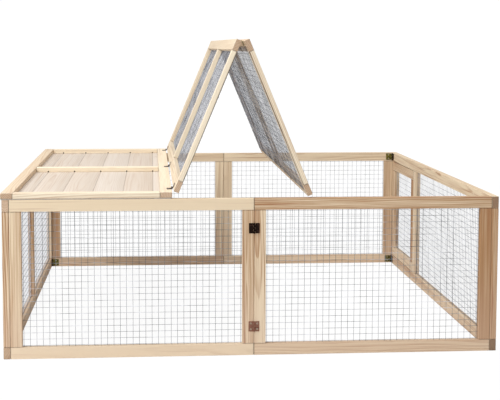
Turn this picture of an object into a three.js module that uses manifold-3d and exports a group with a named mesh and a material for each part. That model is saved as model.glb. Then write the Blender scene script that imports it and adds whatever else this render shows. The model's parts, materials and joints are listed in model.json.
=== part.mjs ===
// Outdoor rabbit run: a four-sided pine and wire-mesh pen that folds flat, with a three-panel roof.
// Millimetres, +Z up, +X along the front, +Y from the front to the back. Built with the front left
// ground corner at zero, then moved so that the middle of the ground box is the origin.
import * as THREE from "three";
import { mergeVertices } from "three/addons/utils/BufferGeometryUtils.js";
import Module from "manifold-3d";

// Walls
const RUN_WIDTH = 1490;
const RUN_DEPTH = 1500;
const WALL_HEIGHT = 476;
const WALL_THICKNESS = 20;
const RAIL_WIDTH = 35;
const LEFT_MID_POST_Y = 738; // middle of the left wall's middle post
const RIGHT_MID_POST_Y = 1058; // middle of the post that the door hangs on
const PANEL_GAP = 0.6; // between two walls, or two halves of a wall, that are hinged together
const JOINT_GAP = 0.3; // between timbers, and under whatever is screwed or stapled on

// Roof
const ROOF_TIMBER_THICKNESS = 16;
const ROOF_TIMBER_WIDTH = 35;
const ROOF_OVERHANG = 4; // past the left and the right wall
const ROOF_FIXED_LENGTH = 504; // the boarded panel
const ROOF_LEG_EXTRA = 12.5; // what the last panel has over the middle one
const ROOF_GAP = 2;
const ROOF_LIFT = THREE.MathUtils.degToRad(67.5);
const BOARD_THICKNESS = 3;
const FIRST_BOARD_WIDTH = 61; // at the left, cut down to fit
const BOARD_PITCH = 92.5;
const BOARD_GROOVE_WIDTH = 4;
const BOARD_GROOVE_DEPTH = 1.4;

// Wire nets
const WIRE = 1.2;
const WIRE_SPACE = 0.3; // between the wires that run along and those that run across
const NET_PITCH = 57; // one wire in three of a 19 mm mesh
const NET_GAP = 0.3;
const NET_THICKNESS = 2 * WIRE + WIRE_SPACE;

// The boards and the roof nets lie under their frames, between them and the wall tops.
const ROOF_SEAT = Math.max(BOARD_THICKNESS, NET_THICKNESS) + 2 * JOINT_GAP;

// Door, in the right wall behind its middle post
const DOOR_GAP = 3;

// Hinges and the turn button
const LEAF_THICKNESS = 1.2;
const LEAF_WIDTH = 15.5;
const HINGE_LENGTH = 32;
const BARREL_RADIUS = 3;
const BORE_RADIUS = 1.6;
const PIN_RADIUS = 1.3;
const SCREW_HOLE_RADIUS = 1.7;
const SCREW_HOLE_INSET = 7; // from each end of a leaf
const ROUND_SIDES = 20;
const HOLE_SIDES = 10;
const BARREL_CLEARANCE = 0.4;
const BARREL_RISE = BARREL_RADIUS + BARREL_CLEARANCE; // pin above the face that carries the leaves
const FOLDED_NET_CLEARANCE = 0.8; // from each net to the ridge pin's height
const RIDGE_BARREL_RISE = Math.max(BARREL_RISE, JOINT_GAP + NET_THICKNESS + FOLDED_NET_CLEARANCE);
const LEAF_CLEARANCE = 1.5;
const LINING_INSET = LEAF_WIDTH + LEAF_CLEARANCE; // edge of the boards and roof nets, in from their frame's
const DOOR_HINGE_HEIGHT = 340;
const BUTTON_LENGTH = 52;
const BUTTON_WIDTH = 12;
const BUTTON_THICKNESS = 3;
const BUTTON_HEIGHT = 238;
const BUTTON_INSET = 12; // pivot from the door side of the rear post

const PINE = 0xe9cf9f;
const ROOF_PINE = 0xf0dbb0;
const BOARD_PINE = 0xefdcb4;
const GALVANISED = 0xb9bdc0;
const BRASSED = 0x8d7a3c;
const BRONZE = 0x3b2c24;

const wasm = await Module();
wasm.setup();

const finish = (color, roughness, metalness) => () =>
  new THREE.MeshStandardMaterial({ color, roughness, metalness });
const pine = finish(PINE, 0.72, 0);
const roofPine = finish(ROOF_PINE, 0.72, 0);
const boardPine = finish(BOARD_PINE, 0.72, 0);
const wire = finish(GALVANISED, 0.42, 0.85);
const brassed = finish(BRASSED, 0.42, 0.85);
const bronze = finish(BRONZE, 0.42, 0.85);

function solid(geometry) {
  const bare = geometry.clone();
  bare.deleteAttribute("normal");
  bare.deleteAttribute("uv");
  const merged = mergeVertices(bare, 1e-4);
  return new wasm.Manifold(
    new wasm.Mesh({
      numProp: 3,
      vertProperties: merged.attributes.position.array,
      triVerts: new Uint32Array(merged.index.array),
    }),
  );
}

function geometryOf(body) {
  const mesh = body.getMesh();
  const geometry = new THREE.BufferGeometry()
    .setAttribute("position", new THREE.BufferAttribute(mesh.vertProperties, 3))
    .setIndex(new THREE.BufferAttribute(mesh.triVerts, 1));
  geometry.computeVertexNormals();
  return geometry;
}

function add(group, name, geometry, material) {
  const mesh = new THREE.Mesh(geometry, material());
  mesh.name = name;
  group.add(mesh);
  return mesh;
}

// A squared timber between two opposite corners.
function timber(group, name, low, high, material) {
  const size = high.map((value, axis) => value - low[axis]);
  const mesh = add(group, name, new THREE.BoxGeometry(...size), material);
  mesh.position.set(...low.map((value, axis) => value + size[axis] / 2));
  return mesh;
}

// The outline of one wire bent back and forth: it runs along u at each of its rows.
function bentWire(along, across) {
  const rows = Math.max(2, Math.round((across - WIRE) / NET_PITCH) + 1);
  const end = (along - WIRE) / 2;
  const points = [];
  for (let row = 0; row < rows; row++) {
    const v = -(across - WIRE) / 2 + (row * (across - WIRE)) / (rows - 1);
    const from = row % 2 ? end : -end;
    points.push(new THREE.Vector2(from, v), new THREE.Vector2(-from, v));
  }
  const side = (sign) =>
    points.map((point, i) => {
      const normals = [points[i + 1] && [point, points[i + 1]], i > 0 && [points[i - 1], point]]
        .filter(Boolean)
        .map(([a, b]) => b.clone().sub(a).normalize());
      const offset = new THREE.Vector2();
      normals.forEach((n) => offset.add(new THREE.Vector2(-n.y, n.x)));
      return point.clone().addScaledVector(offset, (sign * WIRE) / 2);
    });
  return new THREE.Shape([...side(1).reverse(), ...side(-1)]);
}

// A flat net, width along X and height along Y, middle of its thickness at zero.
function netGeometry(width, height) {
  const layer = (shape) =>
    new THREE.ExtrudeGeometry(shape, { depth: WIRE, bevelEnabled: false });
  const along = layer(bentWire(width, height)).translate(0, 0, WIRE_SPACE / 2);
  const across = layer(bentWire(height, width))
    .rotateZ(Math.PI / 2)
    .translate(0, 0, -WIRE - WIRE_SPACE / 2);
  const weld = new THREE.BoxGeometry(WIRE, WIRE, NET_THICKNESS).translate(
    (width - WIRE) / 2,
    (WIRE - height) / 2,
    0,
  );
  return geometryOf(solid(along).add(solid(across)).add(solid(weld)));
}

// Which way the part's X, Y and Z lie in the run, for pieces drawn flat and then stood up.
const X = new THREE.Vector3(1, 0, 0);
const Y = new THREE.Vector3(0, 1, 0);
const Z = new THREE.Vector3(0, 0, 1);
const turn = (x, y, z) =>
  new THREE.Quaternion().setFromRotationMatrix(new THREE.Matrix4().makeBasis(x, y, z));
const FACING_FRONT = turn(X, Z, Y.clone().negate());
const FACING_RIGHT = turn(Y, Z, X);

// A net in the middle of a wall's thickness, filling the opening between two opposite corners.
function wallNet(group, name, low, high, facing) {
  const size = high.map((value, axis) => value - low[axis]);
  const width = (facing === FACING_FRONT ? size[0] : size[1]) - 2 * NET_GAP;
  const mesh = add(group, name, netGeometry(width, size[2] - 2 * NET_GAP), wire);
  mesh.quaternion.copy(facing);
  mesh.position.set(...low.map((value, axis) => value + size[axis] / 2));
}

// One half of the front or back wall: rails run through, stiles stand between them.
function wallHalf(name, left, right, front, outerFirst) {
  const group = new THREE.Group();
  const back = front + WALL_THICKNESS;
  const top = WALL_HEIGHT - RAIL_WIDTH;
  timber(group, name + "_top_rail", [left, front, top], [right, back, WALL_HEIGHT], pine);
  timber(group, name + "_bottom_rail", [left, front, 0], [right, back, RAIL_WIDTH], pine);
  const stiles = outerFirst ? ["_outer_stile", "_centre_stile"] : ["_centre_stile", "_outer_stile"];
  [left, right - RAIL_WIDTH].forEach((x, i) =>
    timber(
      group,
      name + stiles[i],
      [x, front, RAIL_WIDTH + JOINT_GAP],
      [x + RAIL_WIDTH, back, top - JOINT_GAP],
      pine,
    ),
  );
  const low = [left + RAIL_WIDTH, front, RAIL_WIDTH];
  wallNet(group, name + "_net", low, [right - RAIL_WIDTH, back, top], FACING_FRONT);
  return group;
}

// A side wall: rails run from front to back, three posts stand between them.
function sideWall(name, left, midPost, bays) {
  const group = new THREE.Group();
  const right = left + WALL_THICKNESS;
  const top = WALL_HEIGHT - RAIL_WIDTH;
  timber(group, name + "_top_rail", [left, 0, top], [right, RUN_DEPTH, WALL_HEIGHT], pine);
  timber(group, name + "_bottom_rail", [left, 0, 0], [right, RUN_DEPTH, RAIL_WIDTH], pine);
  const posts = { front: 0, mid: midPost - RAIL_WIDTH / 2, rear: RUN_DEPTH - RAIL_WIDTH };
  for (const [place, y] of Object.entries(posts))
    timber(
      group,
      name + "_" + place + "_post",
      [left, y, RAIL_WIDTH + JOINT_GAP],
      [right, y + RAIL_WIDTH, top - JOINT_GAP],
      pine,
    );
  for (const [bay, from, to] of bays) {
    const low = [left, posts[from] + RAIL_WIDTH, RAIL_WIDTH];
    wallNet(group, name + "_" + bay + "_net", low, [right, posts[to], top], FACING_RIGHT);
  }
  return group;
}

// A leaf of a butt hinge. The pin lies along Y through zero, rise above the face that the leaf is
// screwed to, and the leaf reaches along X. One leaf has the two end knuckles and the pin.
function hingeLeaf(rise, withPin) {
  const knuckle = HINGE_LENGTH / 3;
  const clear = BARREL_RADIUS + JOINT_GAP;
  const own = knuckle / 2 - JOINT_GAP / 2;
  const half = HINGE_LENGTH / 2;
  const inner = knuckle / 2 + JOINT_GAP / 2;
  const outline = withPin
    ? [[0, half], [0, inner], [clear, inner], [clear, -inner], [0, -inner], [0, -half]]
    : [[clear, half], [clear, own], [0, own], [0, -own], [clear, -own], [clear, -half]];
  const corners = [...outline, [LEAF_WIDTH, -half], [LEAF_WIDTH, half]];
  const plate = new THREE.Shape(corners.map(([x, y]) => new THREE.Vector2(x, y)));
  for (const sign of [-1, 1]) {
    const hole = new THREE.Path();
    const across = (clear + LEAF_WIDTH) / 2;
    hole.absarc(across, sign * (half - SCREW_HOLE_INSET), SCREW_HOLE_RADIUS, 0, 2 * Math.PI);
    plate.holes.push(hole);
  }
  let leaf = solid(
    new THREE.ExtrudeGeometry(plate, {
      depth: LEAF_THICKNESS,
      bevelEnabled: false,
      curveSegments: HOLE_SIDES,
    }).translate(0, 0, JOINT_GAP - rise),
  );
  const rod = (radius, length) =>
    solid(new THREE.CylinderGeometry(radius, radius, length, ROUND_SIDES));
  const barrel = rod(BARREL_RADIUS, HINGE_LENGTH);
  if (withPin)
    leaf = leaf
      .add(barrel.subtract(rod(2 * BARREL_RADIUS, 2 * inner)))
      .add(rod(PIN_RADIUS, HINGE_LENGTH));
  else leaf = leaf.add(rod(BARREL_RADIUS, 2 * own)).subtract(rod(BORE_RADIUS, HINGE_LENGTH));
  return leaf;
}

function addLeaf(group, name, rise, withPin, mirrored, material) {
  let leaf = hingeLeaf(rise, withPin);
  if (mirrored) leaf = leaf.mirror([1, 0, 0]);
  return add(group, name, geometryOf(leaf), material);
}

// A roof panel between two values of x, with its underside at the given height.
function roofPanel(group, name, left, length, underside, lining) {
  const right = left + length;
  const top = underside + ROOF_TIMBER_THICKNESS;
  const stiles = { left: left, right: right - ROOF_TIMBER_WIDTH };
  for (const [side, x] of Object.entries(stiles)) {
    const end = [x + ROOF_TIMBER_WIDTH, RUN_DEPTH, top];
    timber(group, name + "_" + side + "_stile", [x, 0, underside], end, roofPine);
  }
  const rails = {
    front_rail: 0,
    mid_batten: (RUN_DEPTH - ROOF_TIMBER_WIDTH) / 2,
    back_rail: RUN_DEPTH - ROOF_TIMBER_WIDTH,
  };
  const from = stiles.left + ROOF_TIMBER_WIDTH + JOINT_GAP;
  for (const [rail, y] of Object.entries(rails)) {
    const end = [stiles.right - JOINT_GAP, y + ROOF_TIMBER_WIDTH, top];
    timber(group, name + "_" + rail, [from, y, underside], end, roofPine);
  }
  const size = [length - 2 * LINING_INSET, RUN_DEPTH - 2 * LINING_INSET];
  const isNet = lining === "net";
  const mesh = add(
    group,
    name + "_" + lining,
    isNet ? netGeometry(...size) : boardsGeometry(...size),
    isNet ? wire : boardPine,
  );
  const thickness = isNet ? NET_THICKNESS : BOARD_THICKNESS;
  const middle = underside - JOINT_GAP - thickness / 2;
  mesh.position.set(left + length / 2, RUN_DEPTH / 2, middle);
}

// Thin boards side by side, joined by their tongues, with a V groove on top at each joint.
function boardsGeometry(width, depth) {
  const top = BOARD_THICKNESS / 2;
  const shape = new THREE.Shape();
  shape.moveTo(-width / 2, -top);
  shape.lineTo(width / 2, -top);
  shape.lineTo(width / 2, top);
  const joints = Math.floor((width - FIRST_BOARD_WIDTH - BOARD_GROOVE_WIDTH) / BOARD_PITCH);
  for (let i = joints; i >= 0; i--) {
    const x = FIRST_BOARD_WIDTH + i * BOARD_PITCH - width / 2;
    shape.lineTo(x + BOARD_GROOVE_WIDTH / 2, top);
    shape.lineTo(x, top - BOARD_GROOVE_DEPTH);
    shape.lineTo(x - BOARD_GROOVE_WIDTH / 2, top);
  }
  shape.lineTo(-width / 2, top);
  const options = { depth: depth, bevelEnabled: false };
  return new THREE.ExtrudeGeometry(shape, options).rotateX(Math.PI / 2).translate(0, depth / 2, 0);
}

const run = new THREE.Group();

// Walls
const rightWallX = RUN_WIDTH - WALL_THICKNESS;
run.add(
  sideWall("left_wall", 0, LEFT_MID_POST_Y, [
    ["front", "front", "mid"],
    ["rear", "mid", "rear"],
  ]),
);
run.add(sideWall("right_wall", rightWallX, RIGHT_MID_POST_Y, [["front", "front", "mid"]]));
const wallFronts = { front: 0, back: RUN_DEPTH - WALL_THICKNESS };
for (const [wall, y] of Object.entries(wallFronts)) {
  const left = WALL_THICKNESS + PANEL_GAP;
  const middle = RUN_WIDTH / 2;
  run.add(wallHalf(wall + "_left", left, middle - PANEL_GAP / 2, y, true));
  run.add(wallHalf(wall + "_right", middle + PANEL_GAP / 2, RUN_WIDTH - left, y, false));
}

// Door
const door = new THREE.Group();
const doorFront = RIGHT_MID_POST_Y + RAIL_WIDTH / 2 + DOOR_GAP;
const doorBack = RUN_DEPTH - RAIL_WIDTH - DOOR_GAP;
const doorBottom = RAIL_WIDTH + DOOR_GAP;
const doorTop = WALL_HEIGHT - RAIL_WIDTH - DOOR_GAP;
const rectangle = (Outline, left, bottom, right, top) => {
  const outline = new Outline();
  outline.moveTo(left, bottom);
  outline.lineTo(right, bottom);
  outline.lineTo(right, top);
  outline.lineTo(left, top);
  outline.closePath();
  return outline;
};
const doorOutline = rectangle(THREE.Shape, doorFront, doorBottom, doorBack, doorTop);
doorOutline.holes.push(
  rectangle(
    THREE.Path,
    doorFront + RAIL_WIDTH,
    doorBottom + RAIL_WIDTH,
    doorBack - RAIL_WIDTH,
    doorTop - RAIL_WIDTH,
  ),
);
const doorFrame = add(
  door,
  "door_frame",
  new THREE.ExtrudeGeometry(doorOutline, { depth: WALL_THICKNESS, bevelEnabled: false }),
  pine,
);
doorFrame.quaternion.copy(FACING_RIGHT);
doorFrame.position.x = rightWallX;
wallNet(
  door,
  "door_net",
  [rightWallX, doorFront + RAIL_WIDTH, doorBottom + RAIL_WIDTH],
  [RUN_WIDTH, doorBack - RAIL_WIDTH, doorTop - RAIL_WIDTH],
  FACING_RIGHT,
);
run.add(door);
const doorPin = [RUN_WIDTH + BARREL_RISE, doorFront - DOOR_GAP / 2, DOOR_HINGE_HEIGHT];
const doorLeaves = {
  door_hinge_post_leaf: true,
  door_hinge_door_leaf: false,
};
for (const [name, onPost] of Object.entries(doorLeaves)) {
  const leaf = addLeaf(run, name, BARREL_RISE, onPost, onPost, bronze);
  leaf.quaternion.copy(FACING_RIGHT);
  leaf.position.set(...doorPin);
}

// Turn button, upright and clear of the door; turned level it lies over the door's edge.
const buttonOutline = new THREE.Shape();
const buttonEnd = (BUTTON_LENGTH - BUTTON_WIDTH) / 2;
buttonOutline.absarc(0, buttonEnd, BUTTON_WIDTH / 2, 0, Math.PI);
buttonOutline.absarc(0, -buttonEnd, BUTTON_WIDTH / 2, Math.PI, 2 * Math.PI);
const buttonHole = new THREE.Path();
buttonHole.absarc(0, 0, SCREW_HOLE_RADIUS, 0, 2 * Math.PI);
buttonOutline.holes.push(buttonHole);
const button = add(
  run,
  "door_turn_button",
  new THREE.ExtrudeGeometry(buttonOutline, {
    depth: BUTTON_THICKNESS,
    bevelEnabled: false,
    curveSegments: HOLE_SIDES,
  }),
  bronze,
);
button.quaternion.copy(FACING_RIGHT);
button.position.set(
  RUN_WIDTH + JOINT_GAP,
  RUN_DEPTH - RAIL_WIDTH + BUTTON_INSET,
  BUTTON_HEIGHT,
);

// Roof: the first panel lies on the walls, the other two are lifted into a ridge on their hinges.
const frameUnderside = WALL_HEIGHT + ROOF_SEAT;
const fixedRight = ROOF_FIXED_LENGTH - ROOF_OVERHANG;
const hingedLength = RUN_WIDTH + ROOF_OVERHANG - fixedRight - 2 * ROOF_GAP;
const middleLength = (hingedLength - ROOF_LEG_EXTRA) / 2;
const endLength = middleLength + ROOF_LEG_EXTRA;
roofPanel(run, "roof_1", -ROOF_OVERHANG, ROOF_FIXED_LENGTH, frameUnderside, "boards");

const lifted = new THREE.Group();
const liftPinHeight = frameUnderside + ROOF_TIMBER_THICKNESS + BARREL_RISE;
lifted.position.set(fixedRight + ROOF_GAP / 2, 0, liftPinHeight);
lifted.rotation.y = -ROOF_LIFT;
run.add(lifted);
const middleUnderside = -BARREL_RISE - ROOF_TIMBER_THICKNESS;
roofPanel(lifted, "roof_2", ROOF_GAP / 2, middleLength, middleUnderside, "net");

const folded = new THREE.Group();
folded.position.set(middleLength + ROOF_GAP, 0, middleUnderside - RIDGE_BARREL_RISE);
folded.rotation.y = 2 * ROOF_LIFT;
lifted.add(folded);
roofPanel(folded, "roof_3", ROOF_GAP / 2, endLength, RIDGE_BARREL_RISE, "net");

const hingeY = RUN_DEPTH / 2;
const fixedLeaf = addLeaf(run, "roof_hinge_fixed_leaf", BARREL_RISE, true, true, bronze);
fixedLeaf.position.set(lifted.position.x, hingeY, liftPinHeight);
const liftedLeaf = addLeaf(lifted, "roof_hinge_lifted_leaf", BARREL_RISE, false, false, bronze);
liftedLeaf.position.y = hingeY;
const ridgeUpper = addLeaf(lifted, "ridge_hinge_roof_2_leaf", RIDGE_BARREL_RISE, true, false, brassed);
ridgeUpper.rotation.y = Math.PI;
ridgeUpper.position.set(folded.position.x, hingeY, folded.position.z);
const ridgeLower = addLeaf(folded, "ridge_hinge_roof_3_leaf", RIDGE_BARREL_RISE, false, true, brassed);
ridgeLower.rotation.y = Math.PI;
ridgeLower.position.y = hingeY;

// The origin is the middle of the ground box.
const bounds = new THREE.Box3().setFromObject(run, true);
const middle = bounds.getCenter(new THREE.Vector3());
run.position.set(-middle.x, -middle.y, -bounds.min.z);

export default run;
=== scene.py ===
"""Outdoor rabbit run: the looks of a pine and wire-mesh pen, built round its packed frame.

Metres, +Z up, +X along the front, +Y from the front to the back. Every piece takes its place and
size from the frame's nodes and joints, so it moves with them.
"""

import json
import math

import bpy
import numpy as np
from bpy.props import FloatProperty, FloatVectorProperty, IntProperty, PointerProperty
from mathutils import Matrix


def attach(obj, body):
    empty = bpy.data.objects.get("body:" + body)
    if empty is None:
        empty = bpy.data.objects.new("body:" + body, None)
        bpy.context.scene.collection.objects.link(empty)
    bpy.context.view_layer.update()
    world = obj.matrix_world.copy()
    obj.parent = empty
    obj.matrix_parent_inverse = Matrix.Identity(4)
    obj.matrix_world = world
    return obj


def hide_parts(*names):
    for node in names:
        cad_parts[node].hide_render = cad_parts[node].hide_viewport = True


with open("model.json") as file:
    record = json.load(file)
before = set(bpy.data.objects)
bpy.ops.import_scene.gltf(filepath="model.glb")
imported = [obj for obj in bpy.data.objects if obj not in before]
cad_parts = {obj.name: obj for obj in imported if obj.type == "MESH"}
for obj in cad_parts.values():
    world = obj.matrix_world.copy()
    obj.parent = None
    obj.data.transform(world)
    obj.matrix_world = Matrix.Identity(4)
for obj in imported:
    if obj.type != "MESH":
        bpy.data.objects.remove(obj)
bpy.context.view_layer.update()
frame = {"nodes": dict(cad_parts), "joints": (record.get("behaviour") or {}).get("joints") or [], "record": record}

bl_info = {
    "name": "Outdoor Rabbit Run",
    "version": (1, 0, 0),
    "blender": (4, 5, 0),
    "location": "3D View > Sidebar > Rabbit Run",
    "description": "Builds a folding pine and wire-mesh rabbit run round its packed frame",
    "category": "Add Mesh",
}

NODES = frame["nodes"]
JOINTS = {joint["name"]: joint for joint in frame["joints"]}
BODIES = frame["record"]["behaviour"]["bodies"]
BODY_OF = {node: body for body, nodes in BODIES.items() for node in nodes}

X, Y, Z = np.eye(3)
MM = 0.001
FULL_TURN = 2 * math.pi
STRAIGHT_WALL_HALVES = ("front_left", "front_right", "back_left", "back_right")
SIDE_WALLS = ("left_wall", "right_wall")
SHARP_ANGLE = math.radians(35)


# ---------------------------------------------------------------- settings


def linear(code):
    """The scene-linear colour of a six-digit sRGB code: ((c + 0.055) / 1.055) to the power 2.4."""
    shares = [int(code[i : i + 2], 16) / 255 for i in (0, 2, 4)]
    return [c / 12.92 if c <= 0.04045 else ((c + 0.055) / 1.055) ** 2.4 for c in shares]


def length(label, text, millimetres):
    """A length that a user can set, from a fifth of its default to three times as much."""
    size = millimetres * MM
    limits = {"default": size, "min": size / 5, "max": size * 3}
    return FloatProperty(name=label, description=text, unit="LENGTH", precision=5, **limits)


def number(label, text, value, **settings):
    """A plain number that a user can set."""
    return FloatProperty(name=label, description=text, default=value, **settings)


def angle(label, text, degrees):
    """An angle that a user can set."""
    return number(label, text, math.radians(degrees), unit="ROTATION")


def colour(label, text, code):
    """A colour that a user can set, given by its sRGB code."""
    limits = {"size": 3, "min": 0, "max": 1, "default": linear(code)}
    return FloatVectorProperty(name=label, description=text, subtype="COLOR", **limits)


class TimberSizes(bpy.types.PropertyGroup):
    """Sizes of the timbers and boards."""

    arris: length("Arris", "Radius of a timber's long edges", 1.3)
    # The dark line where two timbers touch is painted shade and grime.
    soiled: length("Soiled band", "Width of the dark line where two timbers touch", 0.9)
    # The dark band along the underside of the second and third roof panels' front rails is painted shade.
    shaded_underside: length("Net's mark", "Width of the dark line where a net lies on a timber", 2.4)
    slot_width: length("Net slot width", "Width of the saw slot that holds a wall net", 1.8)
    slot_depth: length("Net slot depth", "Depth of the saw slot that holds a wall net", 5)
    joint: length("Joint gap", "Gap that shows where two timbers meet", 0.3)
    ring_pitch: length("Ring pitch", "From one year ring of the pine to the next", 4.4)
    first_board: length("First board", "Width of the roof board nearest the left wall", 61)
    board_pitch: length("Board pitch", "From one roof board to the next", 92.5)
    board_gap: length("Board gap", "Gap between two roof boards, over the tongue", 0.5)
    board_chamfer: length("Board chamfer", "Bevel on a roof board's long top edges", 1.9)
    board_inset: length("Board inset", "From a frame's edge to the boards under it", 1)


class NetSizes(bpy.types.PropertyGroup):
    """Sizes of the welded wire nets and what holds them."""

    pitch: length("Mesh", "From one wire to the next", 19)
    wire: length("Wire", "Diameter of a wire", 1)
    sway: length("Sway", "How far a wire wanders from a straight line", 0.35)
    roof_sway: length("Roof sway", "The same in the roof panels", 0.15)
    edge: length("Edge", "From the end of a roof frame to its net", 21)
    entry: length("Entry", "How far a wall net's wires go into the timber", 4)
    sides: IntProperty(name="Sides", description="Sides of a wire", default=6, min=3, max=12)
    staple_width: length("Staple width", "Crown of a staple", 10)
    staple_wire: length("Staple wire", "Diameter of a staple's wire", 1.2)
    staple_pitch: length("Staple pitch", "From one staple to the next", 118)


class FittingSizes(bpy.types.PropertyGroup):
    """Sizes of the hinges, screws, turn button and eye."""

    leaf_width: length("Leaf width", "From a hinge's pin to the edge of its leaf", 16)
    corner_width: length("Corner leaf width", "The same for a corner hinge", 25.5)
    knuckle: length("Knuckle", "Outer radius of a hinge's knuckles", 2.4)
    leaf_thickness: length("Leaf thickness", "Thickness of a hinge leaf", 1.1)
    hinge_length: length("Hinge length", "Length of a hinge along its pin", 31)
    corner_length: length("Corner hinge length", "Length of a corner hinge", 27)
    running_gap: length("Running gap", "Between two knuckles of a hinge", 0.3)
    screw_radius: length("Screw head", "Radius of a screw's head", 2.7)
    centre_low: length("Lower hinge", "Height of the front wall's lower hinge", 88)
    centre_high: length("Upper hinge", "Height of the front wall's upper hinge", 386)
    roof_inset: length("Roof hinge inset", "From a roof panel's end to its first hinge", 90)
    door_low: length("Lower door hinge", "Height of the lower door hinge", 136)
    rail_screw_front: length("Front rail screw", "From the front to a top rail's screw", 208)
    rail_screw_rear: length("Rear rail screw", "From the front to the second screw", 745)


class Finishes(bpy.types.PropertyGroup):
    """Colours of the wood and the metals."""

    pine_pale: colour("Pale pine", "Early wood of the walls", "E6D2B4")
    roof_pale: colour("Pale roof pine", "Early wood of the roof frames", "F1E3CA")
    pine_tan: colour("Tan pine", "Warmer streaks of the walls", "B0865F")
    pine_ring: colour("Pine rings", "Late wood lines", "94572F")
    pine_knot: colour("Pine knots", "Knots of the pine", "5E3A20")
    blush: colour("Blush", "Cast of the walls near the ground", "EBD0BE")
    end_pale: colour("Pale end grain", "Sawn ends between the rings", "EED2B6")
    end_dark: colour("Dark end grain", "Sawn ends in the rings", "B49070")
    # Darker, greyer end grain for the right wall's rail ends, as painted shade.
    end_in_shade: colour("Weathered end grain", "Ends that have stood in the wet", "8E7A6A")
    board_pale: colour("Pale board", "Early wood of the roof boards", "D7CCC0")
    board_tan: colour("Tan board", "Streaks of the roof boards", "BFA78D")
    zinc: colour("Zinc", "Galvanised wire", "E6E9F2")
    # Dull zinc, which also paints the shade on the darker nets and on the nets' wires of one direction.
    zinc_dull_and_shade: colour("Dull zinc", "Weathered galvanised wire", "50535C")
    zinc_roof: colour("Roof zinc", "Rougher wire of the roof panels", "C0C3CC")
    bronze: colour("Bronzed steel", "Dark hinges", "2A1B15")
    # Bronze rubbed through to its coppery base, which also paints the pinkish reflection on the lower hinges of
    # the front and back walls.
    copper_wear_and_sheen: colour("Worn bronze", "Where a dark hinge has worn", "B5806C")
    passivated: colour("Passivated steel", "Yellow passivated hinges", "8C8340")
    passivated_green: colour("Passivated green", "Green cast of the passivated hinges", "4A4E22")
    screw: colour("Screws", "Yellow passivated screws", "EADFC6")
    # The thin-line colour: what the wood is darkened towards as painted shade and grime, and the dull film on the
    # metals.
    stain_and_shade: colour("Thin lines", "Oxide in recesses and on edges", "3A2A20")


class StageSettings(bpy.types.PropertyGroup):
    """The camera and the light."""

    camera_place: FloatVectorProperty(
        name="Camera place",
        description="Where the camera stands",
        subtype="TRANSLATION",
        default=(-0.3082, -4.213, 0.928),
    )
    camera_turn: angle("Turn", "To the right of straight ahead", 4.64)
    camera_dip: angle("Dip", "Down from level", 4.77)
    camera_roll: angle("Roll", "About the line of sight", 0.17)
    focal: number("Focal length", "On a 36 mm sensor, in mm", 84.53)
    shift_x: number("Shift X", "Sideways shift of the lens", 0.0082)
    shift_y: number("Shift Y", "Upright shift of the lens", -0.1116)
    sky: number("Sky", "Strength of the even light", 0.38, min=0)
    key: number("Key", "Power of the left lamp, in watts", 150, min=0)
    fill: number("Fill", "Power of the front lamp, in watts", 16, min=0)
    top: number("Top", "Power of the overhead lamp, in watts", 100, min=0)


# ---------------------------------------------------------------- axes and shapes


class Axes:
    """An origin and three unit vectors, for a piece drawn straight and then stood in the run."""

    def __init__(self, origin, x, y, z):
        self.origin = np.asarray(origin, float)
        self.rows = np.array([x, y, z], float)

    def place(self, points):
        """Frame points of points given along these axes: origin + x·X + y·Y + z·Z."""
        return self.origin + points @ self.rows

    def along(self, points):
        """The coordinates of frame points along these axes."""
        return (points - self.origin) @ self.rows.T


def joint_place(name):
    """A point on a joint's pin."""
    return np.array(JOINTS[name]["pos_m"], float)


def tilted(joint, lift):
    """Axes of a roof panel at its hinge pin: X up the slope, Y along the pin, Z out of its top."""
    across, up = math.cos(lift), math.sin(lift)
    return Axes(joint_place(joint), (across, 0, up), Y, (-up, 0, across))


LIFT = math.radians(-JOINTS["roof_lift"]["range_deg"][0])
LEVEL = Axes((0, 0, 0), X, Y, Z)
PANEL_AXES = {
    "roof_1": LEVEL,
    "roof_2": tilted("roof_lift", LIFT),
    "roof_3": tilted("ridge_fold", -LIFT),
}
FACING_FRONT = Axes((0, 0, 0), X, Z, -Y)
FACING_RIGHT = Axes((0, 0, 0), Y, Z, X)


def axes_of(node):
    """The axes that a node's timbers are square to."""
    return PANEL_AXES.get(node[:6], LEVEL)


def local_box(node, axes=LEVEL):
    """Lowest and highest corner of a node, measured along a set of axes."""
    mesh = NODES[node].data
    points = np.empty(3 * len(mesh.vertices), np.float32)
    mesh.vertices.foreach_get("co", points)
    along = axes.along(points.reshape(-1, 3).astype(float))
    return along.min(0), along.max(0)


class Shape:
    """Closed surfaces gathered into one mesh. Each point has a place in the tree that it was sawn from and how
    much it is darkened, by painted shade and by grime, and each face the number of its finish."""

    def __init__(self):
        self.points, self.faces, self.finishes, self.grain, self.soil = [], [], [], [], []
        self.count = 0

    def add(self, points, faces, finishes=None, grain=None, soil=None):
        """Adds points (n, 3) and a list of face arrays (m, k) that index them."""
        points = np.asarray(points, float).reshape(-1, 3)
        for block, finish in zip(faces, finishes or [0] * len(faces)):
            block = np.atleast_2d(np.asarray(block, int)) + self.count
            self.faces += block.tolist()
            self.finishes += [finish] * len(block)
        self.points.append(points)
        self.grain.append(points if grain is None else grain)
        self.soil.append(np.zeros(len(points)) if soil is None else soil)
        self.count += len(points)
        return self

    def moved(self, axes):
        """The same shape stood along a set of axes, turned right side out if they mirror it."""
        self.points = [axes.place(block) for block in self.points]
        if np.linalg.det(axes.rows) < 0:
            self.faces = [face[::-1] for face in self.faces]
        return self


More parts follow.
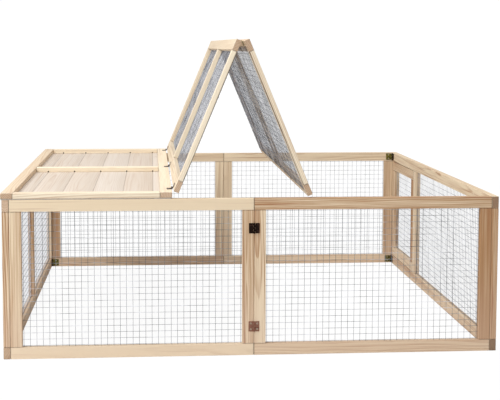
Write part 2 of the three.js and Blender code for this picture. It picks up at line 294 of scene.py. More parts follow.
def dress(name, shape, materials, body, slot, replaced=(), tone=0.0, figure=1.0):
    """Makes a shape a piece of the run: it rides on a body and may stand for CAD nodes. Its points carry their
    grain vector, and a cast: how warm the piece is, which is partly painted light and shade, how strong its figure
    is, and how much the point is darkened by painted shade and by grime."""
    mesh = bpy.data.meshes.new(name)
    mesh.from_pydata(np.concatenate(shape.points).tolist(), [], shape.faces)
    mesh.polygons.foreach_set("material_index", np.array(shape.finishes, np.int32))
    soil = np.concatenate(shape.soil)
    casts = np.stack([np.full(len(soil), tone), np.full(len(soil), figure), soil], -1)
    for layer, values in (("grain", np.concatenate(shape.grain)), ("cast", casts)):
        attribute = mesh.attributes.new(layer, "FLOAT_VECTOR", "POINT")
        attribute.data.foreach_set("vector", values.astype(np.float32).ravel())
    for material in materials:
        mesh.materials.append(material)
    mesh.shade_smooth()
    mesh.set_sharp_from_angle(angle=SHARP_ANGLE)
    if mesh.validate():
        raise RuntimeError(f"{name} has faces that can't stand")
    made = bpy.data.objects.new(name, mesh)
    bpy.context.scene.collection.objects.link(made)
    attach(made, body)
    if replaced:
        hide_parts(*replaced)


def unit(vectors):
    """Vectors in the same directions, each one long."""
    return vectors / np.linalg.norm(vectors, axis=-1, keepdims=True)


def ring_faces(rings, sides):
    """Quads between neighbouring rings: (i, j), (i, j+1), (i+1, j+1), (i+1, j), j running round."""
    i, j = np.meshgrid(np.arange(rings - 1), np.arange(sides), indexing="ij")
    a, b = i * sides + j, i * sides + (j + 1) % sides
    return np.stack([a, b, b + sides, a + sides], -1).reshape(-1, 4)


def swept(profiles):
    """A closed surface through profiles (rings, sides, 3), anticlockwise as seen from ahead."""
    rings, sides = profiles.shape[:2]
    first = np.arange(sides)[::-1]
    last = np.arange(sides) + (rings - 1) * sides
    return profiles.reshape(-1, 3), [ring_faces(rings, sides), [first], [last]]


def circle(sides, radius=1.0):
    """Points (cos a, sin a) times a radius, a from zero round to a full turn."""
    turn = np.arange(sides) * FULL_TURN / sides
    return radius * np.stack([np.cos(turn), np.sin(turn)], -1)


def rounded_outline(width, height, radius, steps=4):
    """A rectangle about zero with round corners: centre + radius·(cos a, sin a) in each quarter."""
    quarter = np.linspace(0, math.pi / 2, steps + 1)
    turn = np.concatenate([quarter + k * math.pi / 2 for k in range(4)])
    signs = np.repeat([[1, 1], [-1, 1], [-1, -1], [1, -1]], steps + 1, axis=0)
    centre = signs * [width / 2 - radius, height / 2 - radius]
    return centre + radius * np.stack([np.cos(turn), np.sin(turn)], -1)


def dome(centre, radius, height, sides=14):
    """A round head on a flat face: rings of radius·cos a at height·sin a, over a short skirt."""
    turn = np.concatenate([[0], np.linspace(0, 0.46 * math.pi, 5)])
    levels = height * np.sin(turn)
    levels[0] = -0.6 * height
    rings = circle(sides) * (radius * np.cos(turn))[:, None, None]
    return swept(np.dstack([rings, np.repeat(levels[:, None], sides, axis=1)]) + centre)


def slab(width, height, radius, levels, centre=(0, 0)):
    """A plate with round corners: its outline, drawn in by each level's inset, stacked at its
    height."""
    rings = []
    for inset, z in levels:
        corner = max(radius - inset, 0.05 * radius)
        outline = rounded_outline(width - 2 * inset, height - 2 * inset, corner)
        rings.append(np.column_stack([outline + centre, np.full(len(outline), z)]))
    return swept(np.array(rings))


def rod(start, end, radius, bulge=0.25, sides=12):
    """A round rod whose ends are drawn in by a quarter circle, bulge times its radius long."""
    start, end = np.asarray(start, float), np.asarray(end, float)
    span = np.linalg.norm(end - start)
    ahead = (end - start) / span
    side = unit(np.cross(ahead, X if abs(ahead[0]) < 0.9 else Y))
    up = np.cross(ahead, side)
    turn = np.linspace(0.15, 1, 4) * math.pi / 2
    radii = np.concatenate([radius * np.sin(turn), radius * np.sin(turn[::-1])])
    reach = radius * bulge * (1 - np.cos(math.pi / 2 - turn))
    place = np.concatenate([reach, span - reach[::-1]])
    ring = circle(sides)
    offset = ring[:, :1] * side + ring[:, 1:] * up
    return swept(start + place[:, None, None] * ahead + radii[:, None, None] * offset)


def tube(path, normal, radius, sides=8):
    """A round tube along a flat path: at each point a circle spanned by the plane's normal and its
    cross product with the path's direction."""
    side = np.cross(normal, unit(np.gradient(path, axis=0)))
    ring = circle(sides, radius)
    offsets = ring[None, :, :1] * side[:, None, :] - ring[None, :, 1:] * normal
    return swept(path[:, None, :] + offsets)


def strip(line, thickness, low, high):
    """A sheet of metal bent along a line in the XZ plane and as long as low to high along Y: the
    line is moved to both sides by half the thickness, along its own normals."""
    ahead = unit(np.gradient(line, axis=0))
    normal = np.stack([-ahead[:, 1], ahead[:, 0]], -1) * thickness / 2
    count = len(line)
    loop = np.concatenate([line + normal, (line - normal)[::-1]])
    near = np.column_stack([loop[:, 0], np.full(2 * count, low), loop[:, 1]])
    far = near + [0, high - low, 0]
    i = np.arange(count - 1)
    cap = np.stack([i, i + 1, 2 * count - 2 - i, 2 * count - 1 - i], -1)
    return np.concatenate([near, far]), [ring_faces(2, 2 * count), cap[:, ::-1], cap + 2 * count]


# ---------------------------------------------------------------- shader maths


class Value:
    """A number that varies over a surface. Arithmetic on it adds Math nodes to its shader."""

    def __init__(self, shader, socket):
        self.shader, self.socket = shader, socket

    def __add__(self, other):
        return self.shader.math("ADD", self, other)

    def __sub__(self, other):
        return self.shader.math("SUBTRACT", self, other)

    def __rsub__(self, other):
        return self.shader.math("SUBTRACT", other, self)

    def __mul__(self, other):
        return self.shader.math("MULTIPLY", self, other)

    def __truediv__(self, other):
        return self.shader.math("DIVIDE", self, other)

    __radd__, __rmul__ = __add__, __mul__

    def root(self):
        return self.shader.math("SQRT", self)

    def fraction(self):
        return self.shader.math("FRACT", self)

    def clamped(self):
        return self.step(0, 1, "LINEAR")

    def step(self, low, high, curve="SMOOTHSTEP"):
        """Zero at low, one at high, and smooth or straight between."""
        sockets = {"Value": self, "From Min": low, "From Max": high}
        node = self.shader.node("MapRange", sockets, interpolation_type=curve)
        return Value(self.shader, node.outputs[0])


class Shader:
    """The node tree of a material or a world. One method makes every node: it joins or fills the
    sockets and sets the settings."""

    def __init__(self, owner):
        self.owner = owner
        owner.use_nodes = True
        self.tree = owner.node_tree
        self.tree.nodes.clear()

    def node(self, kind, sockets=None, **settings):
        made = self.tree.nodes.new("ShaderNode" + kind)
        for key, value in settings.items():
            setattr(made, key, value)
        for key, value in (sockets or {}).items():
            if isinstance(value, Value):
                value = value.socket
            if isinstance(value, bpy.types.NodeSocket):
                self.tree.links.new(value, made.inputs[key])
            else:
                made.inputs[key].default_value = value
        return made

    def math(self, operation, *values):
        node = self.node("Math", dict(enumerate(values)), operation=operation)
        return Value(self, node.outputs[0])

    def vector(self, operation, a, b):
        return self.node("VectorMath", {0: a, 1: b}, operation=operation).outputs[0]

    def length(self, vector):
        node = self.node("VectorMath", {0: vector}, operation="LENGTH")
        return Value(self, node.outputs["Value"])

    def mix(self, share, a, b):
        """The colour a where share is zero and b where it is one."""
        colours = [c if isinstance(c, bpy.types.NodeSocket) else (*c, 1.0) for c in (a, b)]
        sockets = {0: share, 6: colours[0], 7: colours[1]}
        return self.node("Mix", sockets, data_type="RGBA").outputs[2]

    def attribute(self, name):
        return self.node("Attribute", attribute_name=name).outputs["Vector"]

    def place(self):
        return self.node("TexCoord").outputs["Object"]

    def parts(self, vector):
        node = self.node("SeparateXYZ", {0: vector})
        return [Value(self, socket) for socket in node.outputs]

    def noise(self, vector, scale, detail=2.0, roughness=0.5):
        """Noise about one half, with a scale for each direction."""
        stretched = self.vector("MULTIPLY", vector, scale)
        sockets = {"Vector": stretched, "Scale": 1.0, "Detail": detail, "Roughness": roughness}
        return Value(self, self.node("TexNoise", sockets).outputs[0])

    def bump(self, height, strength, distance):
        sockets = {"Height": height, "Strength": strength, "Distance": distance}
        return self.node("Bump", sockets).outputs[0]

    def finish(self, sockets):
        """The Principled surface of this material."""
        return self.shown("Material", self.node("BsdfPrincipled", sockets))

    def shown(self, kind, surface):
        """Joins a surface to a new output, and returns the material or the world."""
        self.node("Output" + kind, {"Surface": surface.outputs[0]})
        return self.owner

    def blend(self, share, a, b):
        """The surface a where share is zero and b where it is one."""
        return self.node("MixShader", {0: share, 1: a.outputs[0], 2: b.outputs[0]})

    def glow(self, kind, strength):
        """White light of a strength, given off by a surface or by the background."""
        return self.node(kind, {"Color": (1, 1, 1, 1), "Strength": strength})

    def ray(self, kind):
        """One for rays of a kind, and zero for all others."""
        return Value(self, self.node("LightPath").outputs[f"Is {kind} Ray"])


def from_pith(s, grain):
    """Distance from the pith: the root of across² + through²."""
    _, across, through = s.parts(grain)
    return (across * across + through * through).root()


def late_wood(radius, pitch, rise, fall):
    """The dark line in each year ring: it comes softly from rise on and goes sharply after fall,
    both as shares of the ring."""
    phase = (radius / pitch).fraction()
    return phase.step(rise, 0.9) * (1 - phase.step(fall, 1.0))


def pine(name, pale, tan, ring, knot, stain_and_shade, ring_pitch, knots, blush=None):
    """Planed pine. The grain attribute is (along, across, through) from the tree's pith, so the year rings are
    circles of equal steps about it, bent by slow noise and pushed aside by the knots. The cast attribute is (tone,
    figure, darkening), the darkening being painted shade and grime."""
    s = Shader(bpy.data.materials.new(name))
    grain = s.attribute("grain")
    tone, figure, soil = s.parts(s.attribute("cast"))
    cells = (3.1, 14.0, 14.0)
    stretched = s.vector("MULTIPLY", grain, cells)
    voronoi = s.node("TexVoronoi", {"Vector": stretched, "Scale": 1.0})
    away = s.vector("SUBTRACT", stretched, voronoi.outputs["Position"])
    luck, girth, _ = s.parts(voronoi.outputs["Color"])
    present = luck.step(1 - knots, 1 - knots + 0.02)
    knot_share = s.length(s.vector("DIVIDE", away, cells)) / (girth * 0.0045 + 0.0022)
    in_knot = present * (1 - knot_share.step(0.75, 1.1))
    near_knot = present * (1 - knot_share.step(0.9, 4.5))
    drift = s.noise(grain, (2.4, 20.0, 20.0), 2.0, 0.45) - 0.5
    bent = from_pith(s, grain) + drift * 0.014 + near_knot * 0.0055
    patch = s.noise(grain, (1.1, 26.0, 26.0), 2.0).step(0.3, 0.7) * 0.75 + 0.25
    late = late_wood(bent, ring_pitch, 0.35, 0.93) * patch
    streak = s.noise(grain, (1.5, 75.0, 75.0), 3.0, 0.6) - 0.5
    fine = s.noise(grain, (4.0, 420.0, 420.0), 2.0) - 0.5
    resin = s.noise(grain, (1.3, 150.0, 150.0), 1.0).step(0.63, 0.74)
    pores = s.noise(grain, (22.0, 1500.0, 1500.0), 3.0, 0.6) - 0.5
    varied = late * 0.5 + streak * 1.5 + fine * 0.7 + pores * 0.25
    base = s.mix((figure * varied + tone + near_knot * 0.3).clamped(), pale, tan)
    base = s.mix((figure * (late * late * 0.3 + resin * 0.5)).clamped(), base, ring)
    heart = s.noise(grain, (300.0,) * 3, 2.0)
    base = s.mix((in_knot * (heart * 0.5 + 0.45)).clamped(), base, knot)
    if blush is not None:
        height = s.parts(s.place())[2]
        base = s.mix((1 - height.step(0.02, 0.3)) * 0.2, base, blush)
    # The cast's third value darkens the wood towards the thin-line colour: painted shade and grime at timber ends
    # and along edges that touch another timber, painted shade under the roof's front rails, and darker board
    # grooves.
    base = s.mix((soil * (fine * 1.2 + 0.6)).clamped(), base, stain_and_shade)
    relief = pores * 0.5 - late * 0.35 + in_knot * 0.3
    sockets = {
        "Base Color": base,
        "Roughness": (0.66 + pores * 0.25 - in_knot * 0.15).clamped(),
        "Normal": s.bump(relief, 0.35, 0.0004),
        "Specular IOR Level": 0.3,
    }
    return s.finish(sockets)


def end_grain(name, pale, dark, stain_and_shade, ring_pitch):
    """Sawn ends: the same rings about the pith, with fine pores and soft blotches."""
    s = Shader(bpy.data.materials.new(name))
    grain = s.attribute("grain")
    tone, _, soil = s.parts(s.attribute("cast"))
    drift = s.noise(grain, (20.0, 40.0, 40.0)) - 0.5
    late = late_wood(from_pith(s, grain) + drift * 0.003, ring_pitch, 0.3, 0.92)
    pores = s.noise(grain, (1500.0,) * 3, 3.0, 0.7) - 0.5
    blotch = s.noise(grain, (60.0,) * 3) - 0.5
    share = late * 0.55 + pores * 0.5 + blotch * 0.5 + tone * 0.6 + 0.15
    sockets = {
        # The cast's third value darkens the sawn ends towards the thin-line colour, as painted shade and grime
        # where timbers meet.
        "Base Color": s.mix(soil * 0.3, s.mix(share.clamped(), pale, dark), stain_and_shade),
        "Roughness": (0.84 + pores * 0.2).clamped(),
        "Normal": s.bump(pores + late * 0.4, 0.4, 0.0005),
        "Specular IOR Level": 0.2,
    }
    return s.finish(sockets)


def plated(name, colours, metallic, roughness, patch_size, patch_edge=(0.42, 0.62), chalk=0.0):
    """Plated steel: two colours in soft patches, fine scratches, and a dull film of the third in
    blotches. Chalk is how much less metallic the first colour is."""
    s = Shader(bpy.data.materials.new(name))
    first, other, stain_and_shade = colours
    place = s.place()
    tone, _, soil = s.parts(s.attribute("cast"))
    scale = 1 / patch_size
    # A piece's tone shifts its patches towards the second colour: on the nets this paints how lit or shaded each
    # net looks, and on the lower wall hinges the pinkish reflection.
    patches = (s.noise(place, (scale,) * 3, 3.0, 0.6) + tone).step(*patch_edge)
    film = s.noise(place, (scale * 2.3,) * 3, 3.0, 0.55)
    scratches = s.noise(place, (2600.0, 2600.0, 180.0), 2.0) - 0.5
    # The cast's third value mixes in the third colour: on the nets it is painted shade on the wires of one
    # direction.
    share = (film.step(0.55, 0.8) * 0.35 + soil).clamped()
    sockets = {
        "Base Color": s.mix(share, s.mix(patches, first, other), stain_and_shade),
        "Metallic": metallic - (1 - patches) * chalk,
        "Roughness": (film * 0.25 + scratches * 0.15 + (roughness - 0.12)).clamped(),
        "Normal": s.bump(scratches + film * 0.5, 0.2, 0.0002),
    }
    return s.finish(sockets)


FINISH = {}
METAL_SLOT = {
    "wire": "galvanised_wire",
    "roof_wire": "galvanised_wire",
    "bronze": "bronzed_steel",
    "passivated": "yellow_passivated_steel",
    "screw": "yellow_passivated_steel",
}


def add_metal(name, shape, axes, metal, body, replaced=(), tone=0.0):
    """A piece of wire or steel, stood along a set of axes."""
    dress(name, shape.moved(axes), [FINISH[metal]], body, METAL_SLOT[metal], replaced, tone)


class RABBIT_RUN_OT_materials(bpy.types.Operator):
    """Pine, end grain, galvanised wire and plated steel"""

    bl_idname = "rabbit_run.materials"
    bl_label = "Materials"

    def execute(self, context):
        f, ring = context.scene.rabbit_run_finish, context.scene.rabbit_run_timber.ring_pitch
        wood = (f.pine_ring, f.pine_knot, f.stain_and_shade)
        zinc, roof_zinc = (f.zinc, *[f.zinc_dull_and_shade] * 2), (f.zinc_roof, *[f.zinc_dull_and_shade] * 2)
        bronze, screw = (f.bronze, f.copper_wear_and_sheen, f.stain_and_shade), (f.screw, f.passivated, f.stain_and_shade)
        green = (f.passivated, f.passivated_green, f.stain_and_shade)
        made = {
            "wall": pine("wall_pine", f.pine_pale, f.pine_tan, *wood, ring, 0.2, f.blush),
            "roof": pine("roof_pine", f.roof_pale, f.pine_tan, *wood, ring, 0.12),
            "board": pine("board_pine", f.board_pale, f.board_tan, *wood, 1.3 * ring, 0.25),
            "end": end_grain("end_grain", f.end_pale, f.end_dark, f.stain_and_shade, ring),
            "shaded_end": end_grain("weathered_end_grain", f.end_dark, f.end_in_shade, f.stain_and_shade, ring),
            "wire": plated("galvanised_wire", zinc, 0.8, 0.42, 0.06, (0.3, 0.7), 0.6),
            "roof_wire": plated("rough_galvanised_wire", roof_zinc, 0.3, 0.65, 0.06, (0.3, 0.7)),
            "bronze": plated("bronzed_steel", bronze, 0.8, 0.36, 0.008, (0.5, 0.75)),
            "passivated": plated("passivated_steel", green, 0.8, 0.36, 0.007),
            "screw": plated("screw_steel", screw, 0.8, 0.3, 0.004, (0.5, 0.8)),
        }
        FINISH.update(made)
        return {"FINISHED"}


# ---------------------------------------------------------------- timbers

# How much warmer a timber is than the palest pine, and how strong its figure; the rest take theirs from chance.
# Part of these tones is painted shade: the timbers further right are made darker, as if the light fell off from
# the left, and the door's hinge stile is made the darkest of all.
CASTS = {
    "front_left_top_rail": (-0.08, 0.45),
    "front_right_top_rail": (0.56, 1.4),
    "front_left_bottom_rail": (-0.1, 0.4),
    "front_right_bottom_rail": (0.28, 0.6),
    "front_left_outer_stile": (0.22, 1.3),
    "front_left_centre_stile": (0.2, 1.5),
    "front_right_centre_stile": (0.12, 1.4),
    "front_right_outer_stile": (0.95, 1.0),
    "back_left_outer_stile": (0.75, 1.0),
    "back_right_outer_stile": (0.35, 1.2),
    "back_left_centre_stile": (-0.05, 1.1),
    "back_right_centre_stile": (-0.05, 1.1),
    "back_left_top_rail": (0.0, 0.9),
    "back_right_top_rail": (0.0, 0.9),
    "back_left_bottom_rail": (0.3, 1.2),
    "back_right_bottom_rail": (0.05, 1.3),
    "right_wall_top_rail": (0.08, 1.2),
    "right_wall_bottom_rail": (0.3, 1.2),
    "right_wall_mid_post": (-0.05, 0.9),
    "right_wall_front_post": (0.7, 1.2),
    "left_wall_mid_post": (0.6, 0.8),
    "left_wall_front_post": (0.35, 1.4),
    "door_hinge_stile": (1.0, 0.8),
    "roof_1_front_rail": (0.1, 0.7),
    "roof_1_mid_batten": (-0.1, 0.3),
    "roof_1_back_rail": (0.05, 0.4),
    "roof_1_left_stile": (0.35, 0.35),
    "roof_1_right_stile": (0.1, 0.4),
    "roof_2_front_rail": (-0.05, 0.6),
    "roof_2_mid_batten": (-0.15, 0.3),
    "roof_2_back_rail": (0.1, 0.6),
    "roof_2_left_stile": (0.15, 0.5),
    "roof_2_right_stile": (0.25, 0.3),
    "roof_3_front_rail": (0.1, 0.8),
}
# The rails of the right wall take the darker end grain at their ends, as painted shade.
SHADED_END_RAILS = ("right_wall_top_rail", "right_wall_bottom_rail")
# Where a piece was sawn: its distance from the pith, a board's bearing from it, and the slope.
TIMBER_PITH, BOARD_PITH = (12 * MM, 70 * MM), (20 * MM, 60 * MM)
BOARD_BEARING = (0.2, 1.2)
TIMBER_LEAN, BOARD_LEAN = 0.02, 0.012
LOG_LENGTH = 40
# How dark the ends are and the edges that touch a timber, as painted shade and grime; the undersides that lie on a
# net, as painted shade; and the grooves between boards, made darker.
END_SHADE_AND_SOIL, TOUCHING_SHADE_AND_SOIL, UNDERSIDE_SHADE, GROOVE_DARKENING = 0.7, 0.1, 1.4, 0.5
# An end is drawn in by this share of the arris.
END_DRAWN_IN = 0.6
SLOT_EDGE, HAIRLINE = 0.2 * MM, 0.05 * MM
# Half the tongue's and the groove's height, as shares of a board's thickness.
TONGUE_SHARE, GROOVE_SHARE = 0.12, 0.16
GROOVE_DEPTH, TONGUE_REACH, TONGUE_LIP = 3 * MM, 2.4 * MM, 0.02 * MM
LAST_BOARD_GAP = 3 * MM
# Size and lift of the dark domes that paint the shade at the board joints.
SHADE_DOT_RADIUS, SHADE_DOT_HEIGHT, SHADE_DOT_LIFT = 2.4 * MM, 1.2 * MM, 2.6 * MM


def chance(name):
    """A random generator that depends only on a piece's name."""
    return np.random.default_rng([ord(letter) for letter in name])


def cast_of(node):
    """A timber's tone and figure."""
    luck = chance(node + "_cast")
    return CASTS.get(node, (luck.uniform(0, 0.4), luck.uniform(0.6, 1.1)))


def in_the_tree(points, luck, pith, bearings, lean):
    """Where points lie in the tree: somewhere along the log, away from the pith by a distance and
    at a bearing from two ranges, and at a slope up to the lean both ways."""
    away, bearing = luck.uniform(*pith), luck.uniform(*bearings)
    along = luck.uniform(0, LOG_LENGTH)
    grain = points + [along, away * math.cos(bearing), away * math.sin(bearing)]
    grain[:, 1:] += points[:, :1] * luck.uniform(-lean, lean, 2)
    return grain


def timber_profile(width, thickness, sizes, inset, slots, depth, band):
    """Outline of a timber's section, anticlockwise: corners rounded by the arris and drawn in by the inset, a
    point at the darkened band's edge on both sides of each, and on each slotted edge two points either side of the
    middle and two at the slot's depth. Returns the outline, and for each point the two sides whose darkened bands
    it lies in: 1 or -1 across, and 2 or -2 through, or zeros. The darkened bands are painted shade and grime."""
    half = np.array([width, thickness]) / 2 - inset
    radius = max(sizes.arris - inset, 0.2 * sizes.arris)
    bend = np.linspace(0, math.pi / 2, 4)
    points, bands = [], []
    for quarter, corner in enumerate(np.array([[1, -1], [1, 1], [-1, 1], [-1, -1]])):
        turn = bend + (quarter - 1) * math.pi / 2
        arc = corner * (half - radius) + radius * np.stack([np.cos(turn), np.sin(turn)], -1)
        ahead = np.array([-math.sin(turn[-1]), math.cos(turn[-1])]) * band
        behind = np.array([math.sin(turn[0]), -math.cos(turn[0])]) * band
        points += [arc[:1] + behind, arc, arc[-1:] + ahead]
        bands += [(0, 0), *[(corner[0], 2 * corner[1])] * 4, (0, 0)]
        side = {0: 1, 2: -1}.get(quarter)
        if side in slots:
            z = side * sizes.slot_width / 2
            edge, floor = side * half[0], side * (half[0] - depth)
            points.append([[edge, -z], [floor, -z], [floor, z], [edge, z]])
            bands += [(0, 0)] * 4
    return np.concatenate(points), np.array(bands)


def timber(name, long, width, thickness, sizes, slots=(), slot_inset=0.0, touching=()):
    """A squared timber along X from zero: its profile carried along, drawn in at both ends, with its slots deep
    only between the insets. Both ends and the long edges of the touching sides are darkened as painted shade and
    grime, with a wider band of painted shade on a side touched through the timber. Returns a Shape with sawn ends
    as finish 1."""
    arris, band = sizes.arris, sizes.soiled
    shade_band = sizes.shaded_underside if {2, -2} & set(touching) else band
    stations = [(0, arris * END_DRAWN_IN, 0, 1), (arris, 0, 0, 1), (arris + band, 0, 0, 0)]
    if slots:
        inset = max(slot_inset, arris + 2 * band)
        start, end = inset, long - inset
        stations += [(start, 0, 0, 0), (start + SLOT_EDGE, 0, 1, 0)]
        stations += [(end - SLOT_EDGE, 0, 1, 0), (end, 0, 0, 0)]
    stations += [(long - arris - band, 0, 0, 0), (long - arris, 0, 0, 1)]
    stations += [(long, arris * END_DRAWN_IN, 0, 1)]
    rings, soil = [], []
    for x, inset, deep, soiled in stations:
        depth = sizes.slot_depth if deep else HAIRLINE
        section, bands = timber_profile(width, thickness, sizes, inset, slots, depth, shade_band)
        rings.append(np.column_stack([np.full(len(section), x), section]))
        touched = (np.isin(bands, touching) * (TOUCHING_SHADE_AND_SOIL, UNDERSIDE_SHADE)).max(axis=1)
        soil.append(np.maximum(soiled * END_SHADE_AND_SOIL, touched))
    points, faces = swept(np.array(rings))
    grain = in_the_tree(points, chance(name), TIMBER_PITH, (0, FULL_TURN), TIMBER_LEAN)
    return Shape().add(points, faces, [0, 1, 1], grain, np.concatenate(soil))


def timber_axes(low, high, axes):
    """Axes of a timber in its box: X along its longest side, Y across its face, Z through it."""
    size = high - low
    order = np.argsort(-size)
    rows = np.eye(3)[order]
    if np.linalg.det(rows) < 0:
        rows[2] *= -1
    start = (low + high) / 2 - rows[0] * size[order[0]] / 2
    return Axes(axes.place(start), *(rows @ axes.rows)), size[order]


def add_timber(name, box, axes, look, node, slotted=(), slot_inset=0.0, touching=()):
    """A timber in a box, standing for a CAD node. The look is its finish, body and slot. slotted
    and touching hold the directions, along the box's axes, of its slotted edges and of its edges
    that touch a neighbour."""
    sizes = bpy.context.scene.rabbit_run_timber
    own, size = timber_axes(*box, axes)
    finish, body, slot = look

    def sides(directions):
        turned = [own.rows[1:] @ (direction @ axes.rows) for direction in directions]
        return [int(round(across + 2 * through)) for across, through in turned]

    shape = timber(name, *size, sizes, sides(slotted), slot_inset, sides(touching)).moved(own)
    tone, figure = cast_of(name.removesuffix("_wood"))
    sawn = "shaded_end" if node in SHADED_END_RAILS else "end"
    finishes = [FINISH[finish], FINISH[sawn]]
    dress(name, shape, finishes, body, slot, [node], tone, figure)


class RABBIT_RUN_OT_wall_timbers(bpy.types.Operator):
    """Rails, stiles and posts of the four walls, each with the saw slot that its net sits in"""

    bl_idname = "rabbit_run.wall_timbers"
    bl_label = "Wall Timbers"

    def execute(self, context):
        for wall in STRAIGHT_WALL_HALVES + SIDE_WALLS:
            rail = local_box(wall + "_top_rail")
            along = X if wall in STRAIGHT_WALL_HALVES else Y
            middle = sum(rail) / 2 @ along
            for node in [n for n in BODIES[wall] if n.startswith(wall) and not n.endswith("net")]:
                box = local_box(node)
                inward = along if sum(box) / 2 @ along < middle else -along
                slotted, inset, touching = [inward], 0.0, []
                if node.endswith("rail"):
                    slotted = [-Z if node.endswith("top_rail") else Z]
                    inset = (rail[1] - rail[0])[2]
                elif node.endswith("stile"):
                    touching = [-inward]
                elif node == "left_wall_mid_post":
                    slotted = [along, -along]
                elif node == "right_wall_mid_post":
                    slotted = [-along]
                elif node == "right_wall_rear_post":
                    slotted = []
                look = ("wall", wall, "wall_timber")
                add_timber(node + "_wood", box, LEVEL, look, node, slotted, inset, touching)
        return {"FINISHED"}


class RABBIT_RUN_OT_door_timbers(bpy.types.Operator):
    """Rails and stiles of the door: the rails run through and the stiles stand between them"""

    bl_idname = "rabbit_run.door_timbers"
    bl_label = "Door Timbers"

    def execute(self, context):
        gap = context.scene.rabbit_run_timber.joint
        low, high = local_box("door_frame")
        post = local_box("right_wall_mid_post")
        width = (post[1] - post[0])[1]
        bottom, top = low[2] + width, high[2] - width
        boxes = {
            "door_top_rail": ((low[0], low[1], top), high, -Z),
            "door_bottom_rail": (low, (high[0], high[1], bottom), Z),
            "door_hinge_stile": ((*low[:2], bottom + gap), (high[0], low[1] + width, top - gap), Y),
            "door_free_stile": (
                (low[0], high[1] - width, bottom + gap),
                (*high[:2], top - gap),
                -Y,
            ),
        }
        for name, (start, end, inward) in boxes.items():
            inset = width if name.endswith("rail") else 0.0
            look = ("wall", "door", "wall_timber")
            add_timber(name, np.array([start, end]), LEVEL, look, "door_frame", [inward], inset)
        return {"FINISHED"}


class RABBIT_RUN_OT_roof_timbers(bpy.types.Operator):
    """Stiles, rails and middle battens of the three roof panels"""

    bl_idname = "rabbit_run.roof_timbers"
    bl_label = "Roof Timbers"

    def execute(self, context):
        for panel, axes in PANEL_AXES.items():
            kinds = ("stile", "rail", "batten")
            for node in [n for n in NODES if n.startswith(panel) and n.endswith(kinds)]:
                look = ("roof", BODY_OF[node], "roof_timber")
                # The front rails of the second and third panels get a band of painted shade along their
                # undersides.
                shaded_underside = [-Z] if node in ("roof_2_front_rail", "roof_3_front_rail") else []
                box = local_box(node, axes)
                add_timber(node + "_wood", box, axes, look, node, touching=shaded_underside)
        return {"FINISHED"}


def board_section(width, thickness, chamfer):
    """Outline of a tongued board from zero to minus its width, anticlockwise: groove on the right,
    tongue on the left, and both top edges bevelled down to the tongue."""
    top, tongue, groove = thickness / 2, TONGUE_SHARE * thickness, GROOVE_SHARE * thickness
    deep, tip = -GROOVE_DEPTH, -width - TONGUE_REACH
    right = [[0, groove], [deep, groove], [deep, -groove], [0, -groove], [0, -top]]
    left = [[-width, -top], [-width, -tongue], [tip, -tongue], [tip, tongue], [-width, tongue]]
    bevel = [[-width, tongue + TONGUE_LIP], [-width + chamfer, top], [-chamfer, top]]
    return np.array([*right, *left, *bevel, [0, groove + TONGUE_LIP]])[::-1]


class RABBIT_RUN_OT_roof_boards(bpy.types.Operator):
    """Tongued boards of the first roof panel, side by side, and dark domes at their joints that paint the shade
    where the grooves run under the batten and the back rail
    """

    bl_idname = "rabbit_run.roof_boards"
    bl_label = "Roof Boards"

    def execute(self, context):
        sizes = context.scene.rabbit_run_timber
        low, high = local_box("roof_1_boards")
        thickness, middle = high[2] - low[2], (low[2] + high[2]) / 2
        left, right = (local_box(f"roof_1_{side}_stile") for side in ("left", "right"))
        joints = np.arange(low[0] + sizes.first_board, high[0], sizes.board_pitch)
        edges = [left[0][0] + sizes.board_inset, *joints, right[1][0] - sizes.board_inset]
        front, back = left[0][1] + sizes.board_inset, left[1][1] - sizes.board_inset
        for order, (start, end) in enumerate(zip(edges[:-1], edges[1:]), 1):
            name = f"roof_board_{order}"
            gap = LAST_BOARD_GAP if end == edges[-1] else sizes.board_gap
            section = board_section(end - start - gap, thickness, sizes.board_chamfer)
            stations = np.linspace(0, back - front, 5)
            rings = [np.column_stack([np.full(len(section), x), section]) for x in stations]
            points, faces = swept(np.array(rings))
            luck = chance(name)
            grain = in_the_tree(points, luck, BOARD_PITH, BOARD_BEARING, BOARD_LEAN)
            # Points below the boards' tops, in the grooves and bevels, are made darker.
            soil = GROOVE_DARKENING * (points[:, 2] < thickness / 2 - HAIRLINE)
            board = Shape().add(points, faces, None, grain, soil)
            board.moved(Axes((start, front, middle), Y, -X, Z))
            replaced = ["roof_1_boards"] if order == 1 else []
            look = ([FINISH["board"]], BODY_OF["roof_1_boards"], "roof_boards", replaced)
            dress(name, board, *look, luck.uniform(-0.05, 0.3), luck.uniform(0.3, 0.55))
        self.groove_shade_dots(joints, high[2] + SHADE_DOT_LIFT)
        return {"FINISHED"}

    def groove_shade_dots(self, joints, height):
        """Dark domes at the joints, low on the front of the middle batten and the back rail: painted shade where
        each groove between boards runs under the timber.
        """
        dots = Shape()
        for node in ("roof_1_mid_batten", "roof_1_back_rail"):
            face = local_box(node)[0][1]
            for x in joints:
                points, faces = dome((x, height, 0), SHADE_DOT_RADIUS, SHADE_DOT_HEIGHT)
                dots.add(Axes((0, face, 0), X, Z, -Y).place(points), faces)
        add_metal("roof_board_pins", dots, LEVEL, "bronze", BODY_OF["roof_1_boards"])


# ---------------------------------------------------------------- nets

# Each net's tone, which paints how lit or shaded its wires look, and how much painted shade darkens its wires
# along its first and its second axis.
NET_CASTS = {
    "front": (0.02, (0.0, 0.7)),
    "back": (0.02, (0.0, 0.7)),
    "left": (-0.4, (1.0, 0.0)),
    "right": (-0.02, (0.85, 0.25)),
    "door": (-0.02, (0.85, 0.25)),
    "roof_2": (-0.05, (0.0, 0.9)),
    "roof_3": (0.03, (0.0, 0.7)),
}
